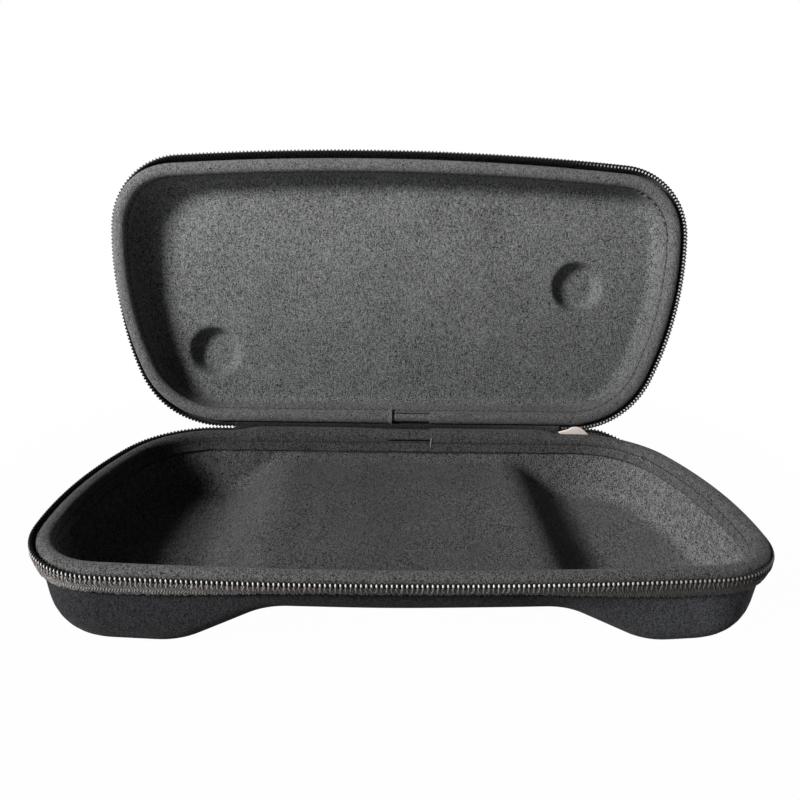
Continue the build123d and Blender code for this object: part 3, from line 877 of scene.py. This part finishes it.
def makeTape(half, shape, node):
    start, end = zipRun(half)
    spare = caseSize["chainStart"] - zipShape["tapeEnd"]  # the tapes run on between the slider's plates
    start, end = (start - spare, end) if half == "tray" else (start, end + spare)
    runs = np.linspace(start, end, int((end - start) / shape["step"][half]))
    base, normal, drop, slack = zipPlaces(half, runs)
    lean = sideShare(normal, rimLean[half])
    wallAt = caseSize["overhang"] - zipShape["inset"] - lean - slack * zipShape["slackInset"][half]
    front = smooth(base[:, 1], *shape["frontV"]) * (1 - smooth(np.abs(base[:, 0]), *shape["frontU"]))
    foot = shape["foot"] + (shape["frontFoot"] - shape["foot"]) * front
    top = drop + shape["crest"]
    run, turn, size, seed = shape["slowWave"]
    wave = ripple(np.stack([runs / run, np.sin(runs / turn)], -1), size, seed)
    fast, stray, slow = shape["fringeWave"]
    hem = shape["hemWave"] * wave + shape["fray"] * np.sin(runs * fast + stray * np.sin(runs * slow))
    edge = shape["edge"] + shape["lidEdge"] * smooth(-base[:, 0], *shape["lidEdgeU"]) * (half == "lid")

    def faceAt(t):
        w = top[:, None] + (foot - top)[:, None] * t + hem[:, None] * t ** 6
        k = (wallAt - shape["hem"] + edge)[:, None] * t ** shape["facePower"] - edge[:, None]
        return k - shape["belly"] * np.sin(math.pi * t) + shape["faceWave"] * wave[:, None] * t, w

    t, tBack = np.linspace(0, 1, shape["rows"][half]), np.linspace(1, 0, shape["backRows"])
    faceK, faceW = faceAt(t)
    zigzag = np.abs(((faceW / tapeLook["rib"] - 1) / 2 % 1) * 2 - 1)  # the same yarn as the tape's material shows
    yarnAt = 2 * math.pi * (runs[:, None] / tapeLook["yarn"] + zigzag)
    faceK = faceK - shape["relief"] * np.sin(yarnAt) * smooth(t, 0, 0.1)
    backK, backW = faceAt(tBack)
    sewn = shape["hem"] - shape["thick"] + shape["seat"][half]  # thicker at its foot, where it meets the wall
    backK = backK + shape["thick"] + sewn * smooth(tBack, *shape["sewnAt"])
    k, w = np.concatenate([faceK, backK], 1), np.concatenate([faceW, backW - 0.1], 1)
    places = withDepth(base[:, None] + normal[:, None] * k[..., None], w)
    run, paleTone = (np.repeat(x[:, None], k.shape[1], 1) for x in (runs, paleToneAt(half, base)))
    along = np.stack([run, w, paleTone], -1).reshape(-1, 3)
    piece = sweptPiece(half + "_zip_tape_weave", half, places, along, False)
    settle(piece, half, "zip_tape", tapeCloth, node)


def makeCoil(half, shape, node):
    start, end = zipRun(half)
    if half == "tray":
        start = caseSize["zipEnd"]
    turns = round((end - start) / shape["pitch"])
    steps = turns * shape["perTurn"] + 1
    runs = np.linspace(start, end, steps)
    phase = np.arange(steps) / shape["perTurn"] * 2 * math.pi
    p, n, drop, _ = zipPlaces(half, runs)
    inward, centre = withDepth(n, 0.0), withDepth(p, drop)
    wide, tall = shape["wide"][half], shape["tall"]
    line = centre + inward * (wide * np.cos(phase))[:, None] + down * (tall * np.sin(phase))[:, None]
    ahead = unit(np.gradient(line, axis=0))
    around = line - centre
    around = unit(around - ahead * np.sum(around * ahead, 1)[:, None])
    angle = circle(shape["sides"])
    places = line[:, None] + shape["wire"] * ringAt(around, np.cross(ahead, around), angle)
    piece = sweptPiece(half + "_zip_coil_teeth", half, places, None, False)
    settle(piece, half, "zip_coil", nylon, node)
    some = slice(0, steps, shape["coreStep"])
    ring = ringAt(inward[some] * (wide - shape["core"]), down[None] * (tall - shape["core"]), angle)
    core = sweptPiece(half + "_zip_coil_core", half, centre[some][:, None] + ring, None, False)
    settle(core, half, "zip_coil", nylon)
    headRuns = start + (np.arange(turns) + shape["headPhase"]) * (end - start) / turns
    makeCoilHeads(half, shape, headRuns)
    if half == "tray":
        makeCoilStitches(half, coilStitchLook, headRuns)


def makeCoilHeads(half, shape, runs):
    # the bead-like head of each turn
    p, n, drop, _ = zipPlaces(half, runs)
    axes = np.stack([tangentTo(n), withDepth(n, 0.0), np.repeat(down[None], len(n), 0)], 1)
    centre = withDepth(p, drop) - axes[:, 1] * shape["headOut"][half] - down * shape["headUp"][half]
    head, quads = ball(*shape["headGrid"])
    places = centre[:, None] + (head * shape["head"][half]) @ axes
    faces = [[k * len(head) + j for j in quad[::-1]] for k in range(len(runs)) for quad in quads]
    # painted highlight: the shine mask makes the heads pale at the tray's front and the lid's right side, where light
    # glints on them
    if half == "tray":
        shine = smooth(p[:, 1], *shape["shineV"]) * (1 - 0.8 * smooth(p[:, 0], *shape["shineU"]))
    else:
        shine = smooth(-p[:, 0], *shape["lidShine"])
    along = np.repeat(np.stack([runs, shine, 0 * shine], -1)[:, None], len(head), 1).reshape(-1, 3)
    piece = addMesh(half + "_zip_coil_heads", toWorld(half, places), faces, along)
    settle(piece, half, "zip_coil", paintedHighlightNylon)


def makeCoilStitches(half, look, runs):
    # the thread that sews each turn of the coil to its tape
    draw = np.random.default_rng(look["seed"])
    p, n, drop, _ = zipPlaces(half, runs)
    slant = draw.normal(0, look["slant"], len(runs))[:, None]
    lift = -withDepth(n, 0.0)
    centre = withDepth(p, drop + look["below"]) + lift * look["out"]
    paleTone = paleToneAt(half, p) * draw.uniform(0.6, 1.0, len(runs))
    along = np.stack([runs, paleTone, 0 * paleTone], -1)
    way = unit(down + tangentTo(n) * slant)
    threadRow(half + "_zip_coil_stitches", half, centre, way, lift, look["long"], look, along)


for half in ("tray", "lid"):
    makeTape(half, tapeShape, half + "_zip_tape")
    makeCoil(half, coilShape, half + "_zip_coil")

sliderShape = {  # x, y, z from the middle of the hinge
    "outline": [(89.75, -0.54), (92.3, 0.48), (95.2, 1.43), (96.9, 2.5), (99.4, 2.85), (102.2, 2.2), (105.0, 0.2),
                (107.0, -2.0), (106.2, -3.4), (101.9, -3.4), (98.1, -3.2), (94.4, -2.8), (91.5, -1.7)],
    "dome": [(0.5, 0.0), (0.95, 0.0), (1.0, 0.2), (1.0, 0.55), (0.97, 0.78), (0.9, 0.92), (0.7, 1.0), (0.35, 1.05)],
    "domeTop": 1.07, "sides": 64, "front": (-1.7, -2.5), "back": (0.6, 1.4), "backSink": -1.6,
    "bail": (94.63, 1.3, -2.5), "bailReach": (3.0, 2.35), "bailBar": (0.5, 0.75), "bailGrid": (25, 12),
    "bailPower": 0.55, "post": (99.6, -0.5, -2.0), "postSize": (1.3, 1.5, 0.6), "postGrid": (7, 20),
}


def roundLine(points, count):
    # smooth closed line through the points
    p = np.asarray(points, float)
    t = np.arange(count) / count * len(p)
    k, f = t.astype(int), (t % 1)[:, None]
    a, b, c, d = (p[(k + j) % len(p)] for j in (-1, 0, 1, 2))
    return 0.5 * (2 * b + (c - a) * f + (2 * a - 5 * b + 4 * c - d) * f ** 2 + (3 * b - a - 3 * c + d) * f ** 3)


def sliderPlate(shape, fromY, toY, sink):
    # domed plate between two depths; the dome is on the side of toY
    line = roundLine(shape["outline"], shape["sides"])
    middle, deep = line.mean(0), toY - fromY
    verts = []
    for scale, share in shape["dome"]:
        q = middle + (line - middle) * scale
        verts.append(np.stack([q[:, 0], np.full(len(q), fromY + deep * share), q[:, 1] + sink], -1))
    ends = [[middle[0], fromY + deep * share, middle[1] + sink] for share in (0.0, shape["domeTop"])]
    faces = cappedFaces(len(verts), len(line))
    if toY > fromY:
        faces = [f[::-1] for f in faces]
    return np.concatenate([np.concatenate(verts), ends]), faces


def sliderBail(shape):
    # arch at the back that holds the pull's bar
    rings, sides = shape["bailGrid"]
    turn = np.linspace(0, math.pi, rings)
    arch = np.stack([np.cos(turn), np.sin(turn), 0 * turn], -1)
    arch = np.sign(arch) * np.abs(arch) ** shape["bailPower"]
    line = arch * (*shape["bailReach"], 0.0) + shape["bail"]
    ahead = unit(np.gradient(line, axis=0))
    out = np.stack([ahead[:, 1], -ahead[:, 0], 0 * turn], -1)
    wide, tall = shape["bailBar"]
    places = line[:, None] + ringAt(out * wide, np.array([[0.0, 0.0, tall]]), circle(sides))
    return places.reshape(-1, 3), tubeFaces(rings, sides)


def sliderPost(shape):
    places, faces = ball(*shape["postGrid"])
    places = np.stack([places[:, 1], -places[:, 0], places[:, 2]], -1)
    return places * shape["postSize"] + shape["post"], faces


def makeSlider(shape):
    # two leaf-shaped plates on a post; the front one shows in the gap between the rims
    parts = [
        sliderPlate(shape, *shape["front"], 0.0), sliderPlate(shape, *shape["back"], shape["backSink"]),
        sliderPost(shape), sliderBail(shape),
    ]
    verts, faces = [], []
    for places, quads in parts:
        first = sum(len(v) for v in verts)
        verts.append(places)
        faces += [[first + k for k in f] for f in quads]
    piece = addMesh("zip_slider_body", (np.concatenate(verts) + np.array([hingeX, hingeY, hingeZ])) * mm, faces)
    settle(piece, "tray", "zip_metal", nickel, "zip_slider")


makeSlider(sliderShape)
for node in ("tray_top_stop", "lid_top_stop", "zip_bottom_stop", "zip_pull"):
    part = frame["nodes"][node]
    part.data.materials.clear()
    part.data.materials.append(nickel if node == "zip_pull" else blackMetal)
print("zip made")

# Hinge strip: doubled cloth behind the two rolls, sewn to both back walls and bent at the hinge line

stripShape = {
    "front": [(3.45, 8.0), (3.45, 6.3), (3.45, 4.7), (2.2, 4.4), (1.3, 4.15), (1.2, 2.6), (1.2, 1.2), (1.1, 0.35)],
    "back": [(3.0, 8.0), (3.0, 6.5), (3.0, 5.15), (1.5, 4.85), (0.08, 4.6), (0.08, 2.6), (0.08, 1.2), (0.08, 0.35)],
    "halfLength": 91.0, "step": 2.0, "bendSteps": 8, "bulge": (0.0, -0.9, 2.5),
}


def makeHingeStrip(shape):
    lines = []
    for side in ("front", "back"):
        legs = [np.array([toWorld(half, np.array([0.0, v, w])) for v, w in shape[side]]) for half in ("tray", "lid")]
        bend = np.linspace(legs[0][-1], legs[1][-1], shape["bendSteps"])[1:-1]
        bend = bend + np.sin(np.linspace(0, math.pi, shape["bendSteps"]))[1:-1, None] * np.array(shape["bulge"]) * mm
        lines.append(np.concatenate([legs[0], bend, legs[1][::-1]]))
    section = np.concatenate([lines[0], lines[1][::-1]])
    runs = np.arange(-shape["halfLength"], shape["halfLength"] + 0.1, shape["step"])
    places = np.repeat(section[None], len(runs), 0)
    places[..., 0] = runs[:, None] * mm
    faces = tubeFaces(len(runs), len(section))
    piece = addMesh("hinge_strip_cloth", places, faces)
    piece.data.materials.append(outerCloth)
    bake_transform(piece)
    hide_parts("hinge_strip")


makeHingeStrip(stripShape)
print("hinge strip made")

# Stage: camera at the photo's place, soft light from the left, white floor

cameraView = {"place": (-14.34, -377.35, 157.92), "pitch": 20.495, "yaw": 2.205, "roll": 1.555, "lens": 32.82}


def makeCamera(view):
    pitch, yaw, roll = (math.radians(view[k]) for k in ("pitch", "yaw", "roll"))
    ahead = Vector((math.sin(yaw) * math.cos(pitch), math.cos(yaw) * math.cos(pitch), -math.sin(pitch)))
    right = ahead.cross(Vector((0, 0, 1))).normalized()
    up = right.cross(ahead)
    across = right * math.cos(roll) + up * math.sin(roll)
    over = up * math.cos(roll) - right * math.sin(roll)
    data = bpy.data.cameras.new("photo_camera")
    data.lens, data.sensor_width, data.sensor_fit = view["lens"], 36.0, "HORIZONTAL"
    data.clip_start, data.clip_end = 0.01, 50.0
    camera = bpy.data.objects.new("photo_camera", data)
    turn = Matrix((across, over, -ahead)).transposed()
    place = Vector(view["place"]) + Vector((hingeX, hingeY, hingeZ))
    camera.matrix_world = Matrix.Translation(place * mm) @ turn.to_4x4()
    bpy.context.scene.collection.objects.link(camera)
    bpy.context.scene.camera = camera


lamps = [  # turn is degrees from the front towards the left; level 1 lights a facing white card to white
    {"name": "window_left", "turn": 57.0, "rise": 28.0, "level": 1.38, "size": 0.30, "colour": (1.0, 0.99, 0.98)},
    {"name": "fill_front", "turn": 50.0, "rise": 6.0, "level": 0.10, "size": 0.5, "colour": (0.98, 0.99, 1.0)},
    {"name": "card_right", "turn": -115.0, "rise": 3.0, "level": 0.5, "size": 0.25, "colour": (0.96, 0.98, 1.0)},
]
lampReach, lampAim = 1.2, Vector((0, 0, 0.07))


def makeLamp(lamp):
    turn, rise = math.radians(lamp["turn"]), math.radians(lamp["rise"])
    way = Vector((-math.sin(turn) * math.cos(rise), -math.cos(turn) * math.cos(rise), math.sin(rise)))
    data = bpy.data.lights.new(lamp["name"], "AREA")
    data.energy, data.size, data.color = lamp["level"] * (math.pi * lampReach) ** 2, lamp["size"], lamp["colour"]
    light = bpy.data.objects.new(lamp["name"], data)
    light.location = lampAim + way * lampReach
    light.rotation_euler = (-way).to_track_quat("-Z", "Y").to_euler()
    bpy.context.scene.collection.objects.link(light)


stageLook = {"ambient": 0.05, "floor": 0.35, "size": 8.0, "fadeFrom": 0.17, "fadeTo": 0.36, "nearWhite": 0.985}


def seenDirectly(tree):
    path = put(tree, "ShaderNodeLightPath")
    shown = math2(tree, "MAXIMUM", path.outputs["Is Camera Ray"], path.outputs["Is Glossy Ray"])
    return math2(tree, "MAXIMUM", shown, path.outputs["Is Transmission Ray"])


def makeStage(look):
    world = bpy.data.worlds.new("studio")
    bpy.context.scene.world = world
    world.use_nodes = True
    t = world.node_tree
    background = t.nodes["Background"]
    background.inputs["Color"].default_value = (1, 1, 1, 1)
    strength = put(t, "ShaderNodeMix", {"data_type": "FLOAT"}, i0=seenDirectly(t), i2=look["ambient"], i3=1.0)
    t.links.new(strength.outputs[0], background.inputs["Strength"])
    r = look["size"]
    floor = addMesh("floor", np.array([(-r, -r, 0), (r, -r, 0), (r, r, 0), (-r, r, 0)], float), [[0, 1, 2, 3]])
    material, t, shader = newMaterial("pale_floor")
    shader.inputs["Base Color"].default_value = grey(look["floor"])
    shader.inputs["Roughness"].default_value = 0.9
    place = objectPlace(t)
    away = put(t, "ShaderNodeVectorMath", {"operation": "LENGTH"}, i0=place).outputs["Value"]
    white = ramp(t, band(t, away, look["fadeFrom"], look["fadeTo"]), 0.0, 1.0, look["nearWhite"], 1.0)
    fade = times(t, white, seenDirectly(t))
    glow = put(t, "ShaderNodeEmission", Color=(1, 1, 1, 1), Strength=1.0)
    mixed = put(t, "ShaderNodeMixShader", i0=fade, i1=shader.outputs[0], i2=glow.outputs[0])
    t.links.new(mixed.outputs[0], t.nodes["Material Output"].inputs["Surface"])
    floor.data.materials.append(material)


makeCamera(cameraView)
for lamp in lamps:
    makeLamp(lamp)
makeStage(stageLook)
bpy.context.scene.view_settings.view_transform = "Standard"
print("stage made")
